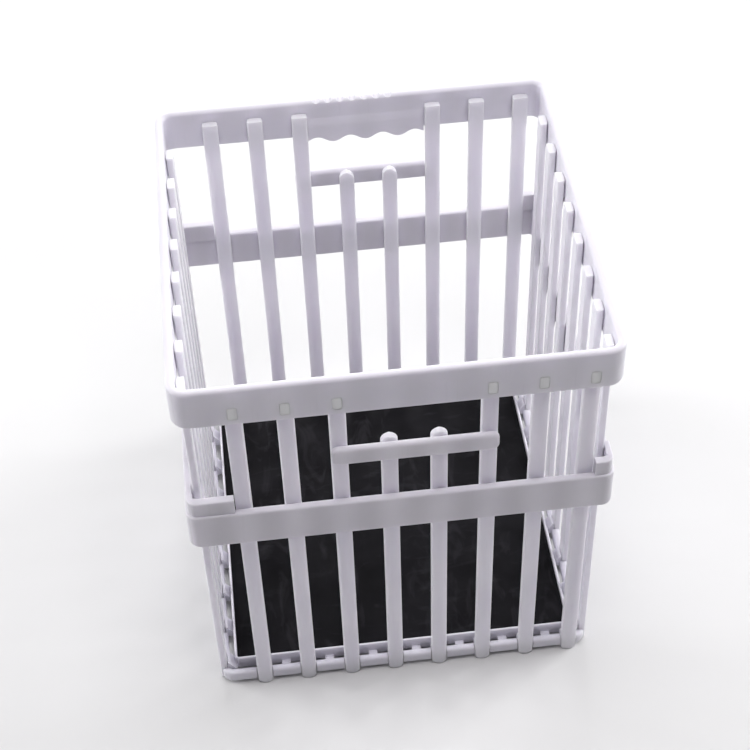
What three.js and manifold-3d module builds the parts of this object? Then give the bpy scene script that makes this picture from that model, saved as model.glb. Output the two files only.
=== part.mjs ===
// A square open-topped crate of upright slats for stacked egg trays, with a loose floor mat.
// Millimetres, +Z up, -Y is the front. The origin is on the ground under the middle of the crate.
import * as THREE from "three";
import { mergeVertices } from "three/addons/utils/BufferGeometryUtils.js";
import Module from "manifold-3d";

// Driving dimensions
const WIDTH = 350; // outside of the rim and the mid band, the same in X and Y
const HEIGHT = 392; // slat feet to the top of the rim
const CORNER_RADIUS = 15; // of the rim, in plan
const BAND = 7; // wall of the rim and the mid band
const CLEARANCE = 0.3; // gap between neighbouring pieces

const RIM_HEIGHT = 38;
const MID_TOP = 248.5;
const MID_HEIGHT = 37;
const MID_RADIUS = 10; // its corners are tighter than the rim's
const STEP_HEIGHT = 15; // raised corners of the mid band
const STEP_SETBACK = 2;
const STEP_SIDE_RUN = 25; // how far a raised corner runs along a side wall
const STEP_DEPTH = 7.3; // thickness of a raised corner on the front and the back

const SLATS_PER_WALL = 8;
const PITCH = 39.7;
const SLAT_WIDTH = 14;
const SLAT_THICKNESS = 6.7;
const SLAT_TOP = 381; // just below the rounded top of the rim
const GRIP_SHIFT = 11.3; // the front and back slats sit this far to the right of the middle
const SIDE_SHIFT = 12; // the side slats sit this far to the front of the middle
const SHORT_SLATS = [3, 4]; // the two under each hand hole, counted from 0
const SHORT_TOP = 314;
const FOOT_CHAMFER = 3;

const HOOK = { width: 7, height: 12, drop: 26 }; // drop: rim top to the middle of the hook
const HOOK_RECESS = 0.4;

const CROSSBAR_TOP = 312;
const CROSSBAR_HEIGHT = 17.4;
const FINGER_PITCH = 29.4;
const NOTCH_DEPTH = 5.8;
const GRIP_DROP = 7; // how far the scalloped edge hangs below the rim
const GRIP_TOP = 366;
const GRIP_THICKNESS = 1.5; // how far the scalloped plate stands inside the rim
const KNURL_GROOVES = 7;
const KNURL_PITCH = 10.7;
const KNURL_DEPTH = 2.2;
const KNURL_RADIUS = 4;

const RAIL_BOTTOM = 4.5;
const RAIL_HEIGHT = 11;
const RAIL_INSET = 9.3; // rim outside to rail outside
const RAIL_WALL = 7;
const RAIL_RADIUS = 10;
const LIP_INSET = 21.5;
const LIP_WALL = 2;
const LIP_RADIUS = 4;
const LIP_PROUD = 0.5; // the lip stands this far above the mat
const MAT_TOP = 18;
const MAT_THICKNESS = 5;
const MAT_RADIUS = 3;
const FLOOR_BOTTOM = 8;
const RECESS = 0.4; // the bars, webs and tabs stop this far above the bottom of the lip
const FLOOR_CELLS = 7;
const FLOOR_RIB = 10;
const FLOOR_INSET = 0.5; // the bars end this far inside the lip's outer face
const FLOOR_STEP = 1; // the lengthwise bars are this much thinner than the cross bars
const TAB_WIDTH = 8;
const TAB_HEIGHT = 4;
const WEB_WIDTH = 13; // sloping web behind each slat, from its back down to the lip
const WEB_TOP = 22;
const WEB_CREST = 1.5; // thickness of the web at its top
const WEB_BITE = 1.3; // how far the web runs into the lip

// Edges and joins
const RING_EDGE = 2; // rounding of the rim, the mid band and the rail
const SLAT_EDGE = 0.8;
const SOFT_EDGE = 1; // rounding of the crossbars and the mat
const CROSSBAR_ROUND = 4; // corners of the crossbar, seen from the front
const BITE = 1; // how far a joined shape runs into the one it is moulded with
const STEP_BITE = 3; // the same for a raised corner, down past the band's rounded edge
const TAB_RAIL_BITE = 2;
const SCALLOP_STEPS = 36;

const HALF = WIDTH / 2;
const SLAT_FACE = HALF - BAND - CLEARANCE; // middle of the crate to the outer face of a slat
const HAND_HOLE = 3 * PITCH - SLAT_WIDTH - 2 * CLEARANCE;

const wasm = await Module();
wasm.setup();

const PLASTIC = { color: 0xe6e6f0, roughness: 0.42, metalness: 0 };
const RUBBER = { color: 0x1c1c20, roughness: 0.7, metalness: 0 };

// three.js geometry to a closed solid, and back.
function solidOf(geometry) {
  const bare = geometry.clone();
  bare.deleteAttribute("normal");
  bare.deleteAttribute("uv");
  const merged = mergeVertices(bare, 1e-4);
  return new wasm.Manifold(
    new wasm.Mesh({
      numProp: 3,
      vertProperties: new Float32Array(merged.attributes.position.array),
      triVerts: new Uint32Array(merged.index.array),
    }),
  );
}

function geometryOf(solid) {
  const mesh = solid.getMesh();
  const geometry = new THREE.BufferGeometry();
  geometry.setAttribute("position", new THREE.BufferAttribute(mesh.vertProperties, 3));
  geometry.setIndex(new THREE.BufferAttribute(mesh.triVerts, 1));
  geometry.computeVertexNormals();
  return geometry;
}

function box(x, y, z, sx, sy, sz) {
  return solidOf(new THREE.BoxGeometry(sx, sy, sz).translate(x, y, z));
}

function roundedSquare(side, radius, Kind = THREE.Shape) {
  const h = side / 2;
  const r = radius;
  const outline = new Kind();
  outline.moveTo(h, -h + r);
  outline.lineTo(h, h - r);
  outline.absarc(h - r, h - r, r, 0, Math.PI / 2);
  outline.lineTo(-h + r, h);
  outline.absarc(-h + r, h - r, r, Math.PI / 2, Math.PI);
  outline.lineTo(-h, -h + r);
  outline.absarc(-h + r, -h + r, r, Math.PI, 1.5 * Math.PI);
  outline.lineTo(h - r, -h);
  outline.absarc(h - r, -h + r, r, 1.5 * Math.PI, 2 * Math.PI);
  return outline;
}

// A square ring with rounded corners and edges, inset from the rim's outside.
function ring(inset, wall, bottom, height, bevel, radius) {
  const outer = WIDTH - 2 * (inset + bevel);
  const inner = WIDTH - 2 * (inset + wall - bevel);
  const shape = roundedSquare(outer, radius - bevel);
  shape.holes.push(roundedSquare(inner, radius - wall + bevel, THREE.Path));
  const geometry = new THREE.ExtrudeGeometry(shape, {
    depth: height - 2 * bevel,
    bevelEnabled: bevel > 0,
    bevelThickness: bevel,
    bevelSize: bevel,
    bevelSegments: 2,
    curveSegments: 5,
  });
  return solidOf(geometry.translate(0, 0, bottom + bevel));
}

// The places of the slats along one wall.
function slatPlaces(shift) {
  const first = shift - ((SLATS_PER_WALL - 1) / 2) * PITCH;
  return Array.from({ length: SLATS_PER_WALL }, (_, i) => first + i * PITCH);
}

// The walls: turn about Z from the front wall, shift of the slats, and whether there is a hand hole.
const WALLS = [
  { name: "front", turn: 0, shift: GRIP_SHIFT, grip: true },
  { name: "right", turn: Math.PI / 2, shift: -SIDE_SHIFT, grip: false },
  { name: "back", turn: Math.PI, shift: -GRIP_SHIFT, grip: true },
  { name: "left", turn: -Math.PI / 2, shift: SIDE_SHIFT, grip: false },
];

const turned = (solid, angle) => solid.rotate([0, 0, THREE.MathUtils.radToDeg(angle)]);

function isShort(wall, i) {
  return wall.grip && SHORT_SLATS.includes(i);
}

// The height of the scalloped edge at x from the middle of the hand hole: a wave with four notches.
function scallop(x) {
  const wave = (1 - Math.cos((2 * Math.PI * x) / FINGER_PITCH)) / 2;
  return HEIGHT - RIM_HEIGHT - GRIP_DROP + NOTCH_DEPTH * wave;
}

// The scalloped finger plate inside the back rim, over its hand hole.
function fingerPlate() {
  const end = HAND_HOLE / 2;
  const shape = new THREE.Shape();
  shape.moveTo(end, GRIP_TOP);
  shape.lineTo(-end, GRIP_TOP);
  for (let i = 0; i <= SCALLOP_STEPS; i++) {
    const x = -end + (2 * end * i) / SCALLOP_STEPS;
    shape.lineTo(x, scallop(x));
  }
  shape.closePath();
  const depth = GRIP_THICKNESS + BITE;
  const plate = new THREE.ExtrudeGeometry(shape, { depth, bevelEnabled: false });
  plate.rotateX(Math.PI / 2); // the outline stands up and the thickness runs towards -Y
  return solidOf(plate.translate(GRIP_SHIFT, HALF - BAND + BITE, 0));
}

function hookWindow(x) {
  const grow = 2 * CLEARANCE;
  return box(x, -HALF + BAND / 2, HEIGHT - HOOK.drop, HOOK.width + grow, 2 * BAND, HOOK.height + grow);
}

// Finger grooves across the top of the back rim.
function knurlGrooves() {
  const grooves = [];
  for (let i = 0; i < KNURL_GROOVES; i++) {
    const groove = new THREE.CylinderGeometry(KNURL_RADIUS, KNURL_RADIUS, BAND * 3, 16);
    const x = (i - (KNURL_GROOVES - 1) / 2) * KNURL_PITCH;
    grooves.push(solidOf(groove.translate(x, HALF - BAND / 2, HEIGHT + KNURL_RADIUS - KNURL_DEPTH)));
  }
  return grooves;
}

function topRim() {
  let rim = ring(0, BAND, HEIGHT - RIM_HEIGHT, RIM_HEIGHT, RING_EDGE, CORNER_RADIUS);
  for (const wall of WALLS) {
    slatPlaces(wall.shift).forEach((x, i) => {
      if (!isShort(wall, i)) rim = rim.subtract(turned(hookWindow(x), wall.turn));
    });
  }
  rim = rim.add(fingerPlate());
  for (const groove of knurlGrooves()) rim = rim.subtract(groove);
  return rim;
}

// Four blocks at the corners, between the end slats, reaching run along the side walls.
function cornerBlocks(run) {
  const places = slatPlaces(GRIP_SHIFT);
  const leftEnd = places[0] - SLAT_WIDTH / 2 - CLEARANCE;
  const rightEnd = places[SLATS_PER_WALL - 1] + SLAT_WIDTH / 2 + CLEARANCE;
  const blocks = [];
  for (const end of [leftEnd, rightEnd]) {
    const reach = HALF - Math.abs(end) + BITE;
    const x = Math.sign(end) * (HALF + BITE - reach / 2);
    for (const side of [-1, 1]) {
      const y = side * (HALF + BITE - run / 2);
      blocks.push(box(x, y, MID_TOP, reach, run + 2 * BITE, 4 * STEP_HEIGHT));
    }
  }
  return blocks.reduce((all, block) => all.add(block));
}

function midBand() {
  const band = ring(0, BAND, MID_TOP - MID_HEIGHT, MID_HEIGHT, RING_EDGE, MID_RADIUS);
  const radius = MID_RADIUS - STEP_SETBACK;
  const low = MID_TOP - STEP_BITE;
  const height = STEP_HEIGHT + STEP_BITE;
  const thin = ring(STEP_SETBACK, BAND - STEP_SETBACK, low, height, 0, radius);
  const thick = ring(STEP_SETBACK, STEP_DEPTH, low, height, 0, radius);
  const sides = thin.intersect(cornerBlocks(STEP_SIDE_RUN));
  const fronts = thick.intersect(cornerBlocks(STEP_SETBACK + STEP_DEPTH));
  return band.add(sides).add(fronts);
}

// The crossbar under a hand hole, with rounded ends at the outer edges of the third and sixth slats.
function crossbar() {
  const length = 3 * PITCH + SLAT_WIDTH;
  const edge = SOFT_EDGE;
  const h = CROSSBAR_HEIGHT / 2 - edge;
  const reach = length / 2 - edge;
  const round = CROSSBAR_ROUND;
  const shape = new THREE.Shape();
  shape.moveTo(-reach + round, -h);
  shape.lineTo(reach - round, -h);
  shape.absarc(reach - round, -h + round, round, -Math.PI / 2, 0);
  shape.lineTo(reach, h - round);
  shape.absarc(reach - round, h - round, round, 0, Math.PI / 2);
  shape.lineTo(-reach + round, h);
  shape.absarc(-reach + round, h - round, round, Math.PI / 2, Math.PI);
  shape.lineTo(-reach, -h + round);
  shape.absarc(-reach + round, -h + round, round, Math.PI, 1.5 * Math.PI);
  const bar = new THREE.ExtrudeGeometry(shape, {
    depth: BAND - 2 * edge,
    bevelThickness: edge,
    bevelSize: edge,
    bevelSegments: 1,
    curveSegments: 4,
  });
  bar.rotateX(Math.PI / 2);
  return solidOf(bar.translate(GRIP_SHIFT, -HALF + BAND - edge, CROSSBAR_TOP - CROSSBAR_HEIGHT / 2));
}

// One slat of the front wall at x: chamfered foot, plain or half-round top, and a hook for the rim.
function slat(x, short) {
  const edge = SLAT_EDGE;
  const w = SLAT_WIDTH / 2 - edge;
  const cut = FOOT_CHAMFER;
  const top = (short ? SHORT_TOP : SLAT_TOP) - edge;
  const shape = new THREE.Shape();
  shape.moveTo(-w + cut, edge);
  shape.lineTo(w - cut, edge);
  shape.lineTo(w, edge + cut);
  if (short) {
    shape.lineTo(w, top - w);
    shape.absarc(0, top - w, w, 0, Math.PI);
  } else {
    shape.lineTo(w, top);
    shape.lineTo(-w, top);
  }
  shape.lineTo(-w, edge + cut);
  shape.closePath();
  const bar = new THREE.ExtrudeGeometry(shape, {
    depth: SLAT_THICKNESS - 2 * edge,
    bevelThickness: edge,
    bevelSize: edge,
    bevelSegments: 1,
    curveSegments: 5,
  });
  bar.rotateX(Math.PI / 2);
  const body = solidOf(bar.translate(x, -SLAT_FACE + SLAT_THICKNESS - edge, 0));
  if (short) return body;
  const length = BAND + CLEARANCE - HOOK_RECESS + BITE;
  const y = -HALF + HOOK_RECESS + length / 2;
  const hook = box(x, y, HEIGHT - HOOK.drop, HOOK.width, length, HOOK.height);
  return body.add(hook);
}

// A sloping web of the front wall, from the back of the slat at x down to the lip.
function web(x) {
  const back = -HALF + BAND + SLAT_THICKNESS + 3 * CLEARANCE;
  const lip = -HALF + LIP_INSET + WEB_BITE;
  const low = FLOOR_BOTTOM + RECESS;
  const shape = new THREE.Shape();
  shape.moveTo(back, low);
  shape.lineTo(lip, low);
  shape.lineTo(lip, FLOOR_BOTTOM + TAB_HEIGHT);
  shape.lineTo(back + WEB_CREST, WEB_TOP);
  shape.lineTo(back, WEB_TOP);
  shape.closePath();
  const plate = new THREE.ExtrudeGeometry(shape, { depth: WEB_WIDTH, bevelEnabled: false });
  plate.rotateX(Math.PI / 2); // the profile's second axis turns up
  plate.rotateZ(Math.PI / 2); // and its first runs from the front to the back
  return solidOf(plate.translate(x - WEB_WIDTH / 2, 0, 0));
}

// The base: bottom rail, floor bars and the lip round the mat, joined by webs and tabs.
function baseTray() {
  let base = ring(RAIL_INSET, RAIL_WALL, RAIL_BOTTOM, RAIL_HEIGHT, RING_EDGE, RAIL_RADIUS);
  const grooveDepth = SLAT_THICKNESS + CLEARANCE + BAND;
  const grooveY = -HALF + BAND + SLAT_THICKNESS + 2 * CLEARANCE - grooveDepth / 2;
  for (const wall of WALLS) {
    for (const x of slatPlaces(wall.shift)) {
      const groove = box(x, grooveY, RAIL_BOTTOM, SLAT_WIDTH + 2 * CLEARANCE, grooveDepth, 4 * RAIL_HEIGHT);
      base = base.subtract(turned(groove, wall.turn));
    }
  }
  const lipHeight = MAT_TOP + LIP_PROUD - FLOOR_BOTTOM;
  base = base.add(ring(LIP_INSET, LIP_WALL, FLOOR_BOTTOM, lipHeight, 0, LIP_RADIUS));
  base = base.add(floorGrid());
  const tabStart = RAIL_INSET + RAIL_WALL - TAB_RAIL_BITE;
  const tabLength = LIP_INSET + BITE - tabStart;
  const tabY = -HALF + tabStart + tabLength / 2;
  const tabZ = FLOOR_BOTTOM + RECESS + TAB_HEIGHT / 2;
  for (const wall of WALLS) {
    const places = slatPlaces(wall.shift);
    for (const x of places) base = base.add(turned(web(x), wall.turn));
    if (!wall.grip) continue;
    for (const x of places.slice(1)) {
      const tab = box(x - PITCH / 2, tabY, tabZ, TAB_WIDTH, tabLength, TAB_HEIGHT);
      base = base.add(turned(tab, wall.turn));
    }
  }
  return base;
}

// Crossed bars under the mat, from lip to lip.
function floorGrid() {
  const side = WIDTH - 2 * (LIP_INSET + FLOOR_INSET);
  const step = (side - FLOOR_RIB) / FLOOR_CELLS;
  const depth = MAT_TOP - MAT_THICKNESS - CLEARANCE - FLOOR_BOTTOM - RECESS;
  const z = FLOOR_BOTTOM + RECESS + depth / 2;
  const bars = [];
  for (let i = 0; i <= FLOOR_CELLS; i++) {
    const place = (i - FLOOR_CELLS / 2) * step;
    bars.push(box(place, 0, z, FLOOR_RIB, side, depth - FLOOR_STEP));
    bars.push(box(0, place, z, side, FLOOR_RIB, depth));
  }
  return bars.reduce((grid, bar) => grid.add(bar));
}

function linerMat() {
  const edge = SOFT_EDGE;
  const side = WIDTH - 2 * (LIP_INSET + LIP_WALL + CLEARANCE);
  const mat = new THREE.ExtrudeGeometry(roundedSquare(side - 2 * edge, MAT_RADIUS), {
    depth: MAT_THICKNESS - 2 * edge,
    bevelThickness: edge,
    bevelSize: edge,
    bevelSegments: 1,
    curveSegments: 4,
  });
  return solidOf(mat.translate(0, 0, MAT_TOP - MAT_THICKNESS + edge));
}

const crate = new THREE.Group();

function addPiece(name, solid, look, turn = 0) {
  const mesh = new THREE.Mesh(geometryOf(solid), new THREE.MeshStandardMaterial(look));
  mesh.name = name;
  mesh.rotation.z = turn;
  crate.add(mesh);
}

addPiece("top_rim", topRim(), PLASTIC);
addPiece("mid_band", midBand(), PLASTIC);
addPiece("base_tray", baseTray(), PLASTIC);
addPiece("liner_mat", linerMat(), RUBBER);
addPiece("front_crossbar", crossbar(), PLASTIC);
addPiece("back_crossbar", crossbar().scale([1, -1, 1]), PLASTIC);
for (const wall of WALLS) {
  slatPlaces(wall.shift).forEach((x, i) => {
    addPiece(`${wall.name}_slat_${i + 1}`, slat(x, isShort(wall, i)), PLASTIC, wall.turn);
  });
}

export default crate;
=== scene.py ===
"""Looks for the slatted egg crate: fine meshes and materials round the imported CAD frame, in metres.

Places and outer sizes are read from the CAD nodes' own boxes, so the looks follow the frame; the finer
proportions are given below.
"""

import math

import bmesh
import bpy
from mathutils import Matrix, Vector


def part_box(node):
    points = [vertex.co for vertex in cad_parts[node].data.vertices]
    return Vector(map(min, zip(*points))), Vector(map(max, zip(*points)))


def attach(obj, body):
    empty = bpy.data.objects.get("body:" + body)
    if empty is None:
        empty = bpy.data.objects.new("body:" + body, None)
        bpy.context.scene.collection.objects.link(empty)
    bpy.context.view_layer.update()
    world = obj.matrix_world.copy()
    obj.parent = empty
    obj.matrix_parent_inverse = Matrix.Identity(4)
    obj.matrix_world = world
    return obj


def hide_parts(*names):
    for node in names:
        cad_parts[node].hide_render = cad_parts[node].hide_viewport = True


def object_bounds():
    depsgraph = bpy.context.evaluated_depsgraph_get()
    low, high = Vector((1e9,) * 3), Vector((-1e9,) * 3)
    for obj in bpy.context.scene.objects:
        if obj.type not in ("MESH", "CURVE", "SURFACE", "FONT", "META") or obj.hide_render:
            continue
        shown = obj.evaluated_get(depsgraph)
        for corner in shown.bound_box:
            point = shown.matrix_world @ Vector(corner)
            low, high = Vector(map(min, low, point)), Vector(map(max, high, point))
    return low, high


MM = 0.001
WALLS = {"front": 0.0, "right": math.pi / 2, "back": math.pi, "left": -math.pi / 2}
GRIP_WALLS = ("front", "back")  # the walls with a hand hole
SLATS_PER_WALL = 8
SHORT_SLATS = (4, 5)  # the two under each hand hole

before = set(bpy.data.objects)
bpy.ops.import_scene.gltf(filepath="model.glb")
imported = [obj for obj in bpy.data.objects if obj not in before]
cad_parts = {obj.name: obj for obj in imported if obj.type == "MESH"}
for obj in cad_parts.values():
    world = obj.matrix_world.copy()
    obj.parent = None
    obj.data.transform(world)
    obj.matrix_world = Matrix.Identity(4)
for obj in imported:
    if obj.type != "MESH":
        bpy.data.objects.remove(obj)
cad_low, cad_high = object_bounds()
HALF = cad_high.x
RIM_TOP = cad_high.z

# Proportions the boxes can't say, as in the design
BAND = 7 * MM
GAP = 0.3 * MM
CORNER_RADIUS = 15 * MM
MID_RADIUS = 10 * MM
RAIL_RADIUS = 10 * MM
LIP_RADIUS = 4 * MM
HOOK_DROP = 26 * MM
HOOK_WIDTH = 7 * MM
HOOK_HEIGHT = 12 * MM
HOOK_ROUND = 1.6 * MM

SLAT_HALF = 7 * MM  # half of a slat's width
SLAT_THICKNESS = 6.7 * MM
SLAT_CROWN = 0.55 * MM
SLAT_ROUND = 1.1 * MM
FOOT_CHAMFER = 3 * MM
DRAFT = 0.91  # a slat's outer face is this share of its inner face in width

RIM_HEIGHT = 38 * MM
SCALLOP_PITCH = 29.4 * MM
SCALLOP_DEPTH = 5.8 * MM
SCALLOP_DROP = 7 * MM  # how far the scalloped edge hangs below the rim
SCALLOP_RISE = 22 * MM  # rim bottom to where the finger plate fades into the rim
SCALLOP_STATIONS = 72
KNURL_GROOVES = 7
KNURL_PITCH = 10.7 * MM
KNURL_RADIUS = 4 * MM
KNURL_LIFT = 1.8 * MM  # rim top to the middle of a groove

STEP_HEIGHT = 15 * MM  # raised corners of the middle band
STEP_SETBACK = 2 * MM
STEP_SIDE_RUN = 25 * MM
STEP_DEPTH = 7.3 * MM
STEP_BITE = 4 * MM  # how far a raised corner runs down into the band

RAIL_INSET = 9.3 * MM
RAIL_WALL = 7 * MM
RAIL_HEIGHT = 11 * MM
LIP_INSET = 21.5 * MM
LIP_WALL = 2 * MM
FLOOR_BOTTOM = 8 * MM
RECESS = 0.4 * MM  # bars, webs and tabs stop this far above the bottom of the lip
FLOOR_CELLS = 7
BAR_HALF = 5 * MM
BAR_STEP = 0.5 * MM  # the lengthwise bars are this much thinner on each side
BAR_INSET = 22 * MM
WEB_HALF = 6.5 * MM
WEB_CREST = 1.2 * MM
WEB_TOP = 22 * MM
WEB_FOOT = 12.4 * MM
WEB_INSET = 22.8 * MM
TAB_HALF = 4 * MM
TAB_HEIGHT = 4 * MM
TAB_START = 15 * MM
TAB_END = 22.5 * MM


# ---------------------------------------------------------------- mesh helpers

def piece(name, bm, material, body, slot, *nodes):
    """A finished object from a bmesh, riding on a body in place of its CAD nodes."""
    bmesh.ops.recalc_face_normals(bm, faces=bm.faces)
    mesh = bpy.data.meshes.new(name)
    bm.to_mesh(mesh)
    bm.free()
    obj = bpy.data.objects.new(name, mesh)
    bpy.context.scene.collection.objects.link(obj)
    return dress(obj, material, body, slot, *nodes)


def dress(obj, material, body, slot, *nodes):
    obj.data.materials.clear()
    obj.data.materials.append(material)
    for polygon in obj.data.polygons:
        polygon.use_smooth = True
    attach(obj, body)
    if nodes:
        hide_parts(*nodes)
    return obj


def loose_object(name, bm):
    """A helper object for a boolean, removed once it has been used."""
    bmesh.ops.recalc_face_normals(bm, faces=bm.faces)
    mesh = bpy.data.meshes.new(name)
    bm.to_mesh(mesh)
    bm.free()
    obj = bpy.data.objects.new(name, mesh)
    bpy.context.scene.collection.objects.link(obj)
    return obj


def boolean(obj, tool, operation):
    """Joins or cuts obj with tool for good, and removes tool."""
    modifier = obj.modifiers.new("cut", "BOOLEAN")
    modifier.operation = operation
    modifier.solver = "EXACT"
    modifier.use_self = True
    modifier.object = tool
    apply_modifiers(obj)
    bpy.data.objects.remove(tool)
    return obj


def apply_modifiers(obj):
    bpy.context.view_layer.update()
    evaluated = obj.evaluated_get(bpy.context.evaluated_depsgraph_get())
    mesh = bpy.data.meshes.new_from_object(evaluated)
    obj.modifiers.clear()
    obj.data = mesh


def shade_by_angle(obj, degrees=35):
    """Marks real corners sharp, then weights normals by face so that flat faces shade flat."""
    for polygon in obj.data.polygons:
        polygon.use_smooth = True
    bm = bmesh.new()
    bm.from_mesh(obj.data)
    limit = math.radians(degrees)
    for edge in bm.edges:
        edge.smooth = len(edge.link_faces) == 2 and edge.calc_face_angle(0) < limit
    bm.to_mesh(obj.data)
    bm.free()
    even = obj.modifiers.new("even", "WEIGHTED_NORMAL")
    even.keep_sharp = True
    apply_modifiers(obj)


def add_loop(bm, points):
    return [bm.verts.new(p) for p in points]


def bridge(bm, a, b):
    """Quads between two rings of the same length."""
    count = len(a)
    for i in range(count):
        j = (i + 1) % count
        bm.faces.new((a[i], a[j], b[j], b[i]))


def loft(bm, loops, closed=False):
    rings = [add_loop(bm, points) for points in loops]
    for a, b in zip(rings, rings[1:]):
        bridge(bm, a, b)
    if closed:
        bridge(bm, rings[-1], rings[0])
    else:
        bm.faces.new(list(reversed(rings[0])))
        bm.faces.new(rings[-1])
    return rings


def block(bm, low, high):
    """An axis-aligned box between two corners."""
    made = bmesh.ops.create_cube(bm, size=1.0)["verts"]
    low, high = Vector(low), Vector(high)
    for vert in made:
        vert.co = Vector((low[k] + (vert.co[k] + 0.5) * (high[k] - low[k]) for k in range(3)))
    return made


def rounded_square(half, radius, steps=10, straight=8):
    """Points of a square with round corners, in order, with extra points along its straight sides."""
    points = []
    radius = max(radius, 0.2 * MM)
    for corner in range(4):
        turn = corner * math.pi / 2
        spin = Matrix.Rotation(turn, 2)
        for i in range(steps + 1):
            a = (i / steps) * math.pi / 2
            point = Vector((half - radius + radius * math.cos(a), half - radius + radius * math.sin(a)))
            points.append(spin @ point)
        for i in range(1, straight):
            y = half - radius - (2 * (half - radius)) * i / straight
            points.append(spin @ Vector((y, half)))
    return points


def wall_profile(thickness, bottom, top, round_top, round_bottom):
    """The cross-section of a band as (depth from the outside, height) points, edges rounded."""
    def arc(cx, cz, radius, start):
        angles = [start + a * math.pi / 10 for a in range(6)]
        return [(cx + radius * math.cos(a), cz + radius * math.sin(a)) for a in angles]

    rise = 6  # parts of the outer face
    points = []
    points += arc(round_bottom, bottom + round_bottom, round_bottom, -math.pi)
    points += arc(thickness - round_bottom, bottom + round_bottom, round_bottom, -math.pi / 2)
    points += arc(thickness - round_top, top - round_top, round_top, 0)
    points += arc(round_top, top - round_top, round_top, math.pi / 2)
    low, high = bottom + round_bottom, top - round_top
    for i in range(1, rise):
        z = high + (low - high) * i / rise
        points.append((0.0, z))
    return points


def band_ring(inset, profile, outer_radius):
    """Sweeps a wall profile round a rounded square, inset from the rim; returns a bmesh."""
    bm = bmesh.new()
    loops = []
    for depth, z in profile:
        half = HALF - inset - depth
        radius = outer_radius - depth
        loops.append([(p.x, p.y, z) for p in rounded_square(half, radius)])
    loft(bm, loops, closed=True)
    return bm


def turned(bm, angle):
    bmesh.ops.rotate(bm, verts=bm.verts, cent=(0, 0, 0), matrix=Matrix.Rotation(angle, 3, "Z"))
    return bm


# ---------------------------------------------------------------- materials

def nodes_of(name):
    material = bpy.data.materials.new(name)
    material.use_nodes = True
    tree = material.node_tree
    return material, tree, tree.nodes["Principled BSDF"]


def noise(tree, scale, detail=3.0, stretch=(1, 1, 1), warp=0.0):
    """A noise node in the row frame, in metres; stretch squeezes it along an axis, warp bends it."""
    coords = tree.nodes.new("ShaderNodeTexCoord")
    mapping = tree.nodes.new("ShaderNodeMapping")
    mapping.inputs["Scale"].default_value = stretch
    texture = tree.nodes.new("ShaderNodeTexNoise")
    texture.inputs["Scale"].default_value = scale
    texture.inputs["Detail"].default_value = detail
    texture.inputs["Distortion"].default_value = warp
    tree.links.new(coords.outputs["Object"], mapping.inputs["Vector"])
    tree.links.new(mapping.outputs["Vector"], texture.inputs["Vector"])
    return texture.outputs["Fac"]


def ramp(tree, value, stops):
    node = tree.nodes.new("ShaderNodeValToRGB")
    while len(node.color_ramp.elements) < len(stops):
        node.color_ramp.elements.new(0.5)
    for element, (place, color) in zip(node.color_ramp.elements, stops):
        element.position = place
        element.color = (*color, 1)
    tree.links.new(value, node.inputs["Fac"])
    return node.outputs["Color"]


def remap(tree, value, low, high, start=0.3, end=0.7):
    node = tree.nodes.new("ShaderNodeMapRange")
    node.inputs["From Min"].default_value = start
    node.inputs["From Max"].default_value = end
    node.inputs["To Min"].default_value = low
    node.inputs["To Max"].default_value = high
    tree.links.new(value, node.inputs["Value"])
    return node.outputs["Result"]


def mix(tree, factor, a, b, blend="MIX"):
    node = tree.nodes.new("ShaderNodeMix")
    node.data_type = "RGBA"
    node.blend_type = blend
    if isinstance(factor, float):
        node.inputs["Factor"].default_value = factor
    else:
        tree.links.new(factor, node.inputs["Factor"])
    for value, socket in ((a, node.inputs[6]), (b, node.inputs[7])):
        if isinstance(value, tuple):
            socket.default_value = (*value, 1)
        else:
            tree.links.new(value, socket)
    return node.outputs[2]


def math_node(tree, operation, *values):
    node = tree.nodes.new("ShaderNodeMath")
    node.operation = operation
    for value, socket in zip(values, node.inputs):
        if isinstance(value, (int, float)):
            socket.default_value = value
        else:
            tree.links.new(value, socket)
    return node.outputs[0]


def bump(tree, heights, bsdf):
    """Chains bumps: each is (height, strength, distance in metres)."""
    last = None
    for height, strength, distance in heights:
        node = tree.nodes.new("ShaderNodeBump")
        node.inputs["Strength"].default_value = strength
        node.inputs["Distance"].default_value = distance
        tree.links.new(height, node.inputs["Height"])
        if last:
            tree.links.new(last, node.inputs["Normal"])
        last = node.outputs["Normal"]
    tree.links.new(last, bsdf.inputs["Normal"])


def painted_slat_shade(tree, depth):
    """Painted light and shade on a band: a factor that is lighter where a slat stands behind it, as light
    through the milky plastic shows it, and darker between; 1 at a slat, 1 - depth midway.
    """
    coords = tree.nodes.new("ShaderNodeTexCoord")
    spot = tree.nodes.new("ShaderNodeSeparateXYZ")
    facing = tree.nodes.new("ShaderNodeSeparateXYZ")
    tree.links.new(coords.outputs["Object"], spot.inputs["Vector"])
    tree.links.new(coords.outputs["Normal"], facing.inputs["Vector"])
    first, second = (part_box(f"front_slat_{n}") for n in (1, 2))
    pitch = second[0].x - first[0].x
    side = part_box("right_slat_1")
    waves = []
    for axis, start in (("X", (first[0].x + first[1].x) / 2), ("Y", (side[0].y + side[1].y) / 2)):
        turns = math_node(tree, "MULTIPLY", spot.outputs[axis], 2 * math.pi / pitch)
        phase = math_node(tree, "SUBTRACT", turns, 2 * math.pi * start / pitch)
        waves.append(math_node(tree, "COSINE", phase))
    sideways = math_node(tree, "GREATER_THAN", math_node(tree, "ABSOLUTE", facing.outputs["X"]), 0.7)
    gap = math_node(tree, "SUBTRACT", waves[1], waves[0])
    wave = math_node(tree, "ADD", waves[0], math_node(tree, "MULTIPLY", gap, sideways))
    upright = math_node(tree, "SUBTRACT", 1.0, math_node(tree, "ABSOLUTE", facing.outputs["Z"]))
    swing = math_node(tree, "MULTIPLY", math_node(tree, "MULTIPLY", wave, upright), depth / 2)
    return math_node(tree, "ADD", swing, 1 - depth / 2)


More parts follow.
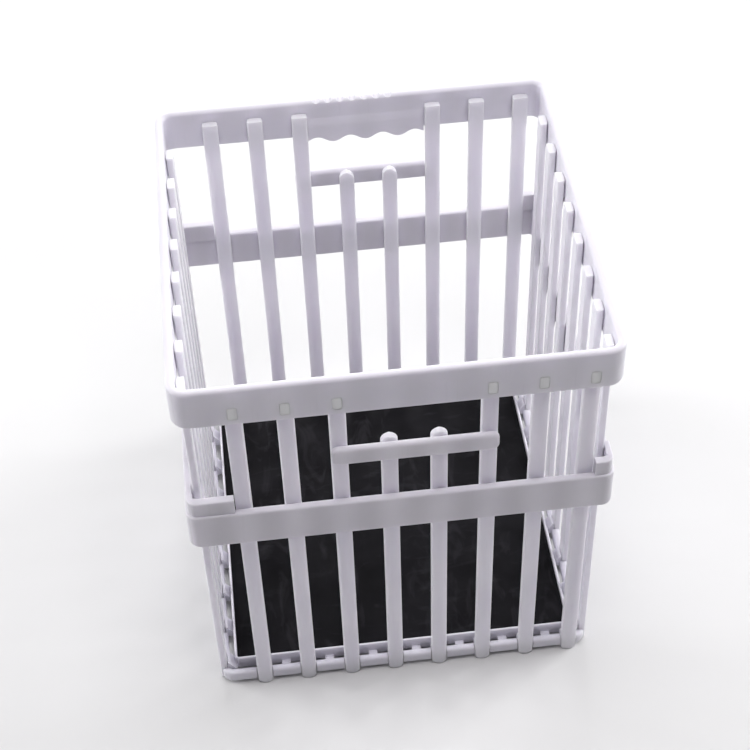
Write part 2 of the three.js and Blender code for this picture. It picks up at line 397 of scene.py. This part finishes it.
def milky_plastic(name, light, shade, glow, soak, painted_shade_depth=0.0):
    """Moulded milky polyethylene: faint clouding, satin skin, light that soaks in by soak metres, and a
    painted pale glow on faces seen edge-on.

    painted_shade_depth is how much painted light and shade change the colour between the slats of a band.
    """
    material, tree, bsdf = nodes_of(name)
    cloud = ramp(tree, noise(tree, 14, 4), [(0.32, shade), (0.68, light)])
    flow = noise(tree, 60, 3, (1, 1, 0.12))
    streaked = mix(tree, remap(tree, flow, 0.0, 0.35), cloud, shade)
    scuff = noise(tree, 420, 2, (1, 1, 0.06))
    worn = mix(tree, remap(tree, scuff, 0.0, 0.12, 0.62, 0.75), streaked, (0.62, 0.61, 0.64))
    # Painted light: faces seen at a grazing angle are mixed towards a paler tone, a painted glow along the
    # edges of the milky plastic.
    edge = tree.nodes.new("ShaderNodeLayerWeight")
    edge.inputs["Blend"].default_value = 0.25
    painted_edge_light = remap(tree, edge.outputs["Facing"], 0.0, 0.5, 0.35, 0.9)
    with_painted_light = mix(tree, painted_edge_light, worn, (0.93, 0.93, 0.96))
    # Painted light and shade: the colour is multiplied lighter at the slats behind the band and darker
    # between them.
    if painted_shade_depth:
        painted_shade_grey = tree.nodes.new("ShaderNodeCombineColor")
        for channel in ("Red", "Green", "Blue"):
            tree.links.new(painted_slat_shade(tree, painted_shade_depth), painted_shade_grey.inputs[channel])
        with_painted_light = mix(tree, 1.0, with_painted_light, painted_shade_grey.outputs["Color"], "MULTIPLY")
    tree.links.new(with_painted_light, bsdf.inputs["Base Color"])
    tree.links.new(remap(tree, noise(tree, 90, 4), 0.34, 0.52), bsdf.inputs["Roughness"])
    bsdf.inputs["Subsurface Weight"].default_value = glow
    bsdf.inputs["Subsurface Radius"].default_value = (1.0, 0.94, 0.98)
    bsdf.inputs["Subsurface Scale"].default_value = soak
    bsdf.inputs["IOR"].default_value = 1.5
    bsdf.inputs["Specular IOR Level"].default_value = 0.42
    bump(tree, [
        (noise(tree, 45, 2), 0.25, 0.4 * MM),
        (noise(tree, 1100, 3), 0.12, 0.06 * MM),
        (scuff, 0.1, 0.05 * MM),
    ], bsdf)
    return material


def black_rubber():
    """Charcoal sheet: mottled, with fine directionless scuffs and a pebbled skin."""
    material, tree, bsdf = nodes_of("black_rubber")
    dark, pale = (0.0026, 0.0024, 0.0034), (0.0088, 0.0084, 0.0106)
    mottle = ramp(tree, noise(tree, 26, 6), [(0.3, dark), (0.72, pale)])
    scuff_a = remap(tree, noise(tree, 46, 6, (1, 0.35, 1), 1.6), 0.0, 0.55, 0.55, 0.8)
    scuff_b = remap(tree, noise(tree, 38, 6, (0.4, 1, 1), 2.2), 0.0, 0.45, 0.57, 0.8)
    scuffed = mix(tree, scuff_a, mottle, (0.036, 0.034, 0.040))
    scuffed = mix(tree, scuff_b, scuffed, (0.031, 0.030, 0.035))
    tree.links.new(scuffed, bsdf.inputs["Base Color"])
    tree.links.new(remap(tree, noise(tree, 40, 5), 0.62, 0.82), bsdf.inputs["Roughness"])
    bsdf.inputs["Specular IOR Level"].default_value = 0.1
    bump(tree, [
        (noise(tree, 30, 3), 0.3, 0.3 * MM),
        (noise(tree, 1500, 3), 0.35, 0.08 * MM),
    ], bsdf)
    return material


def floor_material():
    """Plain pale paper."""
    material, tree, bsdf = nodes_of("studio_floor")
    tint = ramp(tree, noise(tree, 3, 2), [(0.3, (0.73, 0.73, 0.735)), (0.7, (0.76, 0.76, 0.765))])
    tree.links.new(tint, bsdf.inputs["Base Color"])
    bsdf.inputs["Roughness"].default_value = 0.9
    bsdf.inputs["Specular IOR Level"].default_value = 0.1
    return material


# The last number given to the rim and the band is the depth of their painted slat shade.
WHITE_RIM = milky_plastic("white_rim", (0.80, 0.785, 0.845), (0.73, 0.715, 0.785), 0.6, 6 * MM, 0.06)
WHITE = milky_plastic("white_band", (0.77, 0.75, 0.81), (0.70, 0.68, 0.75), 0.6, 6 * MM, 0.13)
WHITE_SLAT = milky_plastic("white_slat", (0.81, 0.795, 0.86), (0.75, 0.735, 0.81), 0.85, 9 * MM)
WHITE_BASE = milky_plastic("white_base", (0.76, 0.745, 0.81), (0.68, 0.665, 0.74), 0.5, 4 * MM)
# For the hooks' outer faces: a paler copy of the milky plastic, painted light where light comes through the
# hooks.
HOOK_PAINTED_LIGHT = milky_plastic("hook_painted_light", (0.92, 0.91, 0.95), (0.88, 0.87, 0.92), 0.7, 6 * MM)
RUBBER = black_rubber()


# ---------------------------------------------------------------- shapes

def inset_outline(width, height, radius, inset, steps=6):
    """A rounded rectangle's outline about the origin, pulled in by inset."""
    w, h = width / 2 - inset, height / 2 - inset
    r = max(radius - inset, 0.15 * MM)
    points = []
    for k, (cx, cy) in enumerate(((w - r, h - r), (-w + r, h - r), (-w + r, -h + r), (w - r, -h + r))):
        for i in range(steps + 1):
            a = (k + i / steps) * math.pi / 2
            points.append((cx + r * math.cos(a), cy + r * math.sin(a)))
    return points


def pillow(bm, center, width, height, radius, y_low, y_high, edge, steps=4):
    """A rounded plate standing in the XZ plane, from y_low to y_high, with rounded edges."""
    loops = []
    for side in (0, 1):
        for i in range(steps + 1):
            a = (i / steps if side == 0 else 1 - i / steps) * math.pi / 2
            inset = edge * (1 - math.sin(a))
            y = y_low + edge * (1 - math.cos(a)) if side == 0 else y_high - edge * (1 - math.cos(a))
            loops.append([(center[0] + x, y, center[1] + z)
                          for x, z in inset_outline(width, height, radius, inset)])
    loft(bm, loops)


def wall_frame(name):
    """A slat's place in its wall turned to the front: (middle along the wall, top height)."""
    wall = name.split("_")[0]
    low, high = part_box(name)
    spin = Matrix.Rotation(-WALLS[wall], 3, "Z")
    center = spin @ ((low + high) / 2)
    return wall, center.x, high.z


def slat_section(half_width, shrink):
    """A slat's cross-section: crowned outer face, rounded edges, a little narrower at the outside.

    shrink pulls it in all round.
    """
    w, y0 = half_width - shrink, -HALF + BAND + GAP + shrink
    y1 = -HALF + BAND + GAP + SLAT_THICKNESS - shrink
    r = min(SLAT_ROUND, w * 0.6)
    points = []
    for i in range(9):  # outer face, left to right, bulging in the middle
        t = -1 + 2 * i / 8
        points.append((t * (w - r), y0 + SLAT_CROWN * t * t))
    corner = y0 + SLAT_CROWN
    for i in range(1, 5):
        a = -math.pi / 2 + (i / 4) * math.pi / 2
        points.append((w - r + r * math.cos(a), corner + r + r * math.sin(a)))
    for i in range(0, 5):
        a = (i / 4) * math.pi / 2
        points.append((w - r + r * math.cos(a), y1 - r + r * math.sin(a)))
    for i in range(1, 6):  # inner face
        points.append(((w - r) * (1 - 2 * i / 6), y1))
    for i in range(0, 5):
        a = math.pi / 2 + (i / 4) * math.pi / 2
        points.append((-w + r + r * math.cos(a), y1 - r + r * math.sin(a)))
    for i in range(0, 4):
        a = math.pi + (i / 4) * math.pi / 2
        points.append((-w + r + r * math.cos(a), corner + r + r * math.sin(a)))
    return [(x * (DRAFT + (1 - DRAFT) * (y - y0) / (y1 - y0)), y) for x, y in points]


def slat_mesh(place, top, short):
    """One slat of the front wall, from its chamfered foot to its top."""
    width, cut = SLAT_HALF, FOOT_CHAMFER
    stations = [(0.0, width - cut, 0.5 * MM), (0.3 * MM, width - cut + 0.4 * MM, 0.1 * MM)]
    stations += [(cut - 0.2 * MM, width - 0.1 * MM, 0), (cut + 0.6 * MM, width, 0)]
    rise = top - (width if short else 0)
    for i in range(1, 13):
        stations.append((cut + (rise - cut - 1 * MM) * i / 12, width, 0))
    if short:
        for i in range(1, 10):
            a = (i / 9) * math.pi * 0.47
            stations.append((rise + width * math.sin(a), width * math.cos(a), 0.05 * MM * i))
    else:
        stations += [(top - 0.5 * MM, width - 0.05 * MM, 0), (top - 0.15 * MM, width - 0.2 * MM, 0.1 * MM)]
        stations += [(top, width - 0.5 * MM, 0.35 * MM)]
    bm = bmesh.new()
    loft(bm, [[(place + x, y, z) for x, y in slat_section(w, s)] for z, w, s in stations])
    return bm


def hook_mesh(place):
    bm = bmesh.new()
    grow = 1.9 * GAP  # almost fills its window
    pillow(bm, (place, RIM_TOP - HOOK_DROP), HOOK_WIDTH + grow, HOOK_HEIGHT + grow, HOOK_ROUND,
           -HALF - 0.05 * MM, -HALF + BAND + 2 * MM, 0.45 * MM)
    return bm


def make_slats():
    for wall, angle in WALLS.items():
        for number in range(1, SLATS_PER_WALL + 1):
            name = f"{wall}_slat_{number}"
            _, place, top = wall_frame(name)
            short = wall in GRIP_WALLS and number in SHORT_SLATS
            obj = loose_object(name + "_moulding", turned(slat_mesh(place, top, short), angle))
            if not short:
                boolean(obj, loose_object("hook", turned(hook_mesh(place), angle)), "UNION")
            shade_by_angle(obj, 50)
            dress(obj, WHITE_SLAT, "crate", "white_plastic", name)
            # The hooks' outer faces take the paler copy of the plastic: painted light.
            obj.data.materials.append(HOOK_PAINTED_LIGHT)
            back = Matrix.Rotation(-angle, 3, "Z")
            for polygon in obj.data.polygons:
                if (back @ polygon.center).y < -HALF + 1.2 * MM:
                    polygon.material_index = 1


def scallop(x, bottom):
    """Height of the finger edge at x from the middle of the hand hole."""
    wave = SCALLOP_DEPTH * (1 - math.cos(2 * math.pi * x / SCALLOP_PITCH)) / 2
    return bottom - SCALLOP_DROP + wave


def finger_plate(middle, half_width, bottom):
    """A scalloped finger edge for a hand hole, in the front wall's frame, for joining to the rim."""
    bm = bmesh.new()
    y = -HALF + BAND
    top = bottom + SCALLOP_RISE
    loops = []
    for i in range(SCALLOP_STATIONS + 1):
        x = -half_width + 2 * half_width * i / SCALLOP_STATIONS
        low = scallop(x, bottom)
        # depth into the crate in millimetres, and height
        section = [(-2.2, top - 2 * MM), (-0.1, top), (0.35, top - 3 * MM)]
        section += [(0.8, top - 6 * MM), (1.2, top - 9 * MM), (1.4, top - 12 * MM)]
        section += [(1.5, low + 1.6 * MM), (1.2, low + 0.6 * MM), (0.5, low)]
        section += [(-0.9, low), (-1.8, low + 0.6 * MM), (-2.2, low + 1.6 * MM)]
        loops.append([(middle + x, y + d * MM, z) for d, z in section])
    loft(bm, loops)
    return bm


def make_rim():
    bottom = RIM_TOP - RIM_HEIGHT
    profile = wall_profile(BAND, bottom, RIM_TOP, 3.1 * MM, 1.8 * MM)
    rim = loose_object("top_rim_moulding", band_ring(0, profile, CORNER_RADIUS))
    third = wall_frame("front_slat_3")[1]
    sixth = wall_frame("front_slat_6")[1]
    middle, half_width = (third + sixth) / 2, (sixth - third) / 2 - SLAT_HALF - GAP
    plate = finger_plate(-middle, half_width, bottom)
    boolean(rim, loose_object("plate", turned(plate, math.pi)), "UNION")
    tools = bmesh.new()
    for i in range(KNURL_GROOVES):
        x = (i - KNURL_GROOVES // 2) * KNURL_PITCH
        groove = bmesh.ops.create_cone(tools, segments=32, radius1=KNURL_RADIUS, radius2=KNURL_RADIUS,
                                       depth=5 * BAND, cap_ends=True)["verts"]
        tilt = Matrix.Rotation(math.pi / 2, 4, "X")
        place = Matrix.Translation((x, HALF, RIM_TOP + KNURL_LIFT))
        bmesh.ops.transform(tools, matrix=place @ tilt, verts=groove)
    boolean(rim, loose_object("knurl", tools), "DIFFERENCE")
    windows = bmesh.new()
    for wall, angle in WALLS.items():
        for number in range(1, SLATS_PER_WALL + 1):
            if wall in GRIP_WALLS and number in SHORT_SLATS:
                continue
            place = wall_frame(f"{wall}_slat_{number}")[1]
            hole = bmesh.new()
            grow = 2 * GAP
            pillow(hole, (place, RIM_TOP - HOOK_DROP), HOOK_WIDTH + grow, HOOK_HEIGHT + grow,
                   HOOK_ROUND, -HALF - BAND, -HALF + 1.5 * BAND, 0.1 * MM, 1)
            turned(hole, angle)
            mesh = bpy.data.meshes.new("hole")
            hole.to_mesh(mesh)
            hole.free()
            windows.from_mesh(mesh)
    boolean(rim, loose_object("windows", windows), "DIFFERENCE")
    shade_by_angle(rim, 40)
    dress(rim, WHITE_RIM, "crate", "white_plastic", "top_rim")


def make_mid_band():
    low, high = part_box("mid_band")
    top = high.z - STEP_HEIGHT
    profile = wall_profile(BAND, low.z, top, 1.8 * MM, 2.0 * MM)
    band = loose_object("mid_band_moulding", band_ring(0, profile, MID_RADIUS))
    left = wall_frame("front_slat_1")[1] - SLAT_HALF - GAP
    right = wall_frame("front_slat_8")[1] + SLAT_HALF + GAP
    sides, fronts = (BAND - STEP_SETBACK, STEP_SIDE_RUN), (STEP_DEPTH, STEP_SETBACK + STEP_DEPTH)
    for wall, run in (sides, fronts):
        raised = wall_profile(wall, top - STEP_BITE, top + STEP_HEIGHT, 1.2 * MM, 0.5 * MM)
        ring = loose_object("steps", band_ring(STEP_SETBACK, raised, MID_RADIUS - STEP_SETBACK))
        corners = bmesh.new()
        for x0, x1 in ((-2 * HALF, left), (right, 2 * HALF)):
            for y0, y1 in ((-2 * HALF, run - HALF), (HALF - run, 2 * HALF)):
                block(corners, (x0, y0, 0), (x1, y1, RIM_TOP))
        boolean(ring, loose_object("corners", corners), "INTERSECT")
        boolean(band, ring, "UNION")
    shade_by_angle(band, 40)
    dress(band, WHITE, "crate", "white_plastic", "mid_band")


def web_points(x, back, lip, low, high, top):
    """A sloping web of the front wall, from the back of the slat at x down to the lip."""
    profile = [(back, low), (lip, low), (lip, high)]
    for i in range(1, 6):  # a hollow curve from the lip up to the slat
        t = i / 6
        profile.append((lip + (back + WEB_CREST - lip) * t, high + (top - high) * t ** 1.25))
    profile += [(back + WEB_CREST, top), (back, top)]
    return [[(x + side * WEB_HALF, y, z) for y, z in profile] for side in (-1, 1)]


def make_base():
    low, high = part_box("base_tray")
    floor, mat_low = FLOOR_BOTTOM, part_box("liner_mat")[0].z
    profile = wall_profile(RAIL_WALL, low.z, low.z + RAIL_HEIGHT, 2.8 * MM, 2.0 * MM)
    base = loose_object("base_tray_moulding", band_ring(RAIL_INSET, profile, RAIL_RADIUS))
    grooves, webs, tabs = bmesh.new(), bmesh.new(), bmesh.new()
    back = -HALF + BAND + 7.6 * MM  # just behind the slats
    for wall, angle in WALLS.items():
        spin = Matrix.Rotation(angle, 4, "Z")
        places = [wall_frame(f"{wall}_slat_{n}")[1] for n in range(1, SLATS_PER_WALL + 1)]
        for place in places:
            made = block(grooves, (place - SLAT_HALF - GAP, -1.2 * HALF, 0),
                         (place + SLAT_HALF + GAP, back - GAP, 40 * MM))
            bmesh.ops.transform(grooves, matrix=spin, verts=made)
            rings = loft(webs, web_points(place, back, -HALF + WEB_INSET, floor + RECESS, WEB_FOOT, WEB_TOP))
            bmesh.ops.transform(webs, matrix=spin, verts=rings[0] + rings[1])
        if wall not in GRIP_WALLS:
            continue
        for a, b in zip(places, places[1:]):
            middle = (a + b) / 2
            made = block(tabs, (middle - TAB_HALF, -HALF + TAB_START, floor + RECESS),
                         (middle + TAB_HALF, -HALF + TAB_END, floor + RECESS + TAB_HEIGHT))
            bmesh.ops.transform(tabs, matrix=spin, verts=made)
    boolean(base, loose_object("grooves", grooves), "DIFFERENCE")
    lip = wall_profile(LIP_WALL, floor, high.z, 0.8 * MM, 0.5 * MM)
    boolean(base, loose_object("lip", band_ring(LIP_INSET, lip, LIP_RADIUS)), "UNION")
    boolean(base, loose_object("webs", webs), "UNION")
    boolean(base, loose_object("tabs", tabs), "UNION")
    reach = HALF - BAR_INSET
    step = (2 * reach - 2 * BAR_HALF) / FLOOR_CELLS
    for lengthwise in (True, False):
        bars = bmesh.new()
        thin = BAR_STEP if lengthwise else 0
        for i in range(FLOOR_CELLS + 1):
            place = (i - FLOOR_CELLS / 2) * step
            a, b = (place - BAR_HALF, -reach), (place + BAR_HALF, reach)
            if not lengthwise:
                a, b = (a[1], a[0]), (b[1], b[0])
            block(bars, (*a, floor + RECESS + thin), (*b, mat_low - GAP - thin))
        boolean(base, loose_object("bars", bars), "UNION")
    shade_by_angle(base, 35)
    dress(base, WHITE_BASE, "crate", "white_plastic", "base_tray")


def make_crossbars():
    for wall in ("front", "back"):
        name = f"{wall}_crossbar"
        low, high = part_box(name)
        center = ((low.x + high.x) / 2, (low.z + high.z) / 2)
        bm = bmesh.new()
        pillow(bm, center, high.x - low.x, high.z - low.z, 5.5 * MM, low.y, high.y, 3.0 * MM, 8)
        piece(name + "_moulding", bm, WHITE, "crate", "white_plastic", name)


def make_mat():
    """A sheet with a rounded rim whose top rises and falls by a tenth of a millimetre or two."""
    low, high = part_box("liner_mat")
    half, edge = high.x, 0.9 * MM
    bm = bmesh.new()
    corner = 4.5 * MM
    loops = []
    for z, inset in ((low.z, edge), (low.z + 0.3 * edge, 0.3 * edge), (low.z + edge, 0),
                     (high.z - edge, 0), (high.z - 0.3 * edge, 0.3 * edge), (high.z, edge)):
        loops.append([(p.x, p.y, z) for p in rounded_square(half - inset, corner - inset, 6, 60)])
    for i in range(1, 40):
        h = (half - edge) * (1 - i / 40)
        r = (corner - edge) * (1 - i / 40)
        ring = []
        for p in rounded_square(h, r, 6, 60):
            wave = math.sin(31 * p.x + 2) * math.cos(27 * p.y) + 0.6 * math.sin(58 * p.y + 19 * p.x)
            ring.append((p.x, p.y, high.z - 0.12 * MM + 0.07 * MM * wave))
        loops.append(ring)
    loft(bm, loops)
    piece("liner_mat_sheet", bm, RUBBER, "mat", "black_rubber", "liner_mat")


make_rim()
make_mid_band()
make_base()
make_crossbars()
make_mat()
make_slats()


# ---------------------------------------------------------------- stage, lights and camera

SIDE_GLOW, TOP_GLOW, BACK_GLOW, BASE_GLOW = 0.12, 0.06, 0.10, 0.26


def make_floor():
    bm = bmesh.new()
    bmesh.ops.create_grid(bm, x_segments=8, y_segments=8, size=6)
    floor = loose_object("floor", bm)
    floor.location.z = -0.2 * MM
    floor.data.materials.append(floor_material())


def area_light(name, place, target, size, watts, color=(1, 1, 1)):
    data = bpy.data.lights.new(name, "AREA")
    data.size = size
    data.energy = watts
    data.color = color
    light = bpy.data.objects.new(name, data)
    light.location = place
    light.visible_camera = False
    light.rotation_euler = (Vector(target) - Vector(place)).to_track_quat("-Z", "Y").to_euler()
    bpy.context.scene.collection.objects.link(light)


def soft_sun(watts, tilt, spread):
    """Even light from above over the whole floor."""
    data = bpy.data.lights.new("soft_sun", "SUN")
    data.energy = watts
    data.angle = math.radians(spread)
    light = bpy.data.objects.new("soft_sun", data)
    light.rotation_euler = (math.radians(tilt), 0, 0)
    bpy.context.scene.collection.objects.link(light)


def make_world():
    """A soft dome: bright overhead and at both sides, dimmer in front."""
    world = bpy.data.worlds.new("studio")
    world.use_nodes = True
    tree = world.node_tree
    background = tree.nodes["Background"]
    coords = tree.nodes.new("ShaderNodeTexCoord")
    split = tree.nodes.new("ShaderNodeSeparateXYZ")
    tree.links.new(coords.outputs["Generated"], split.inputs["Vector"])

    sides = math_node(tree, "MULTIPLY", math_node(tree, "ABSOLUTE", split.outputs["X"]), SIDE_GLOW)
    above = math_node(tree, "MULTIPLY", math_node(tree, "MAXIMUM", split.outputs["Z"], 0.0), TOP_GLOW)
    behind = math_node(tree, "MULTIPLY", split.outputs["Y"], BACK_GLOW)
    below = math_node(tree, "ADD", behind, BASE_GLOW)
    glow = math_node(tree, "ADD", math_node(tree, "ADD", sides, above), below)
    tree.links.new(glow, background.inputs["Strength"])
    bpy.context.scene.world = world


def make_camera():
    data = bpy.data.cameras.new("camera")
    data.sensor_width = 36
    data.lens = 81.35
    data.clip_end = 50
    camera = bpy.data.objects.new("camera", data)
    tilt, yaw, roll = math.radians(44.22), math.radians(4.98), math.radians(2.17)
    turn = Matrix.Rotation(-yaw, 4, "Z") @ Matrix.Rotation(tilt, 4, "X") @ Matrix.Rotation(-roll, 4, "Z")
    camera.matrix_world = Matrix.Translation((-0.0950, -1.0506, 1.2962)) @ turn
    bpy.context.scene.collection.objects.link(camera)
    bpy.context.scene.camera = camera


make_floor()
make_world()
soft_sun(0.65, 4, 60)
area_light("overhead", (0.05, -0.36, 1.30), (0, 0, 0.2), 0.7, 6.4, (1.0, 0.97, 0.98))
area_light("right_side", (1.95, 0.50, 0.95), (0, 0, 0.28), 1.1, 38)
area_light("left_side", (-1.95, 0.50, 0.95), (0, 0, 0.28), 1.1, 31)
area_light("behind", (0.0, 1.9, 1.15), (0, 0, 0.28), 1.1, 22)
make_camera()
bpy.context.scene.view_settings.view_transform = "Standard"
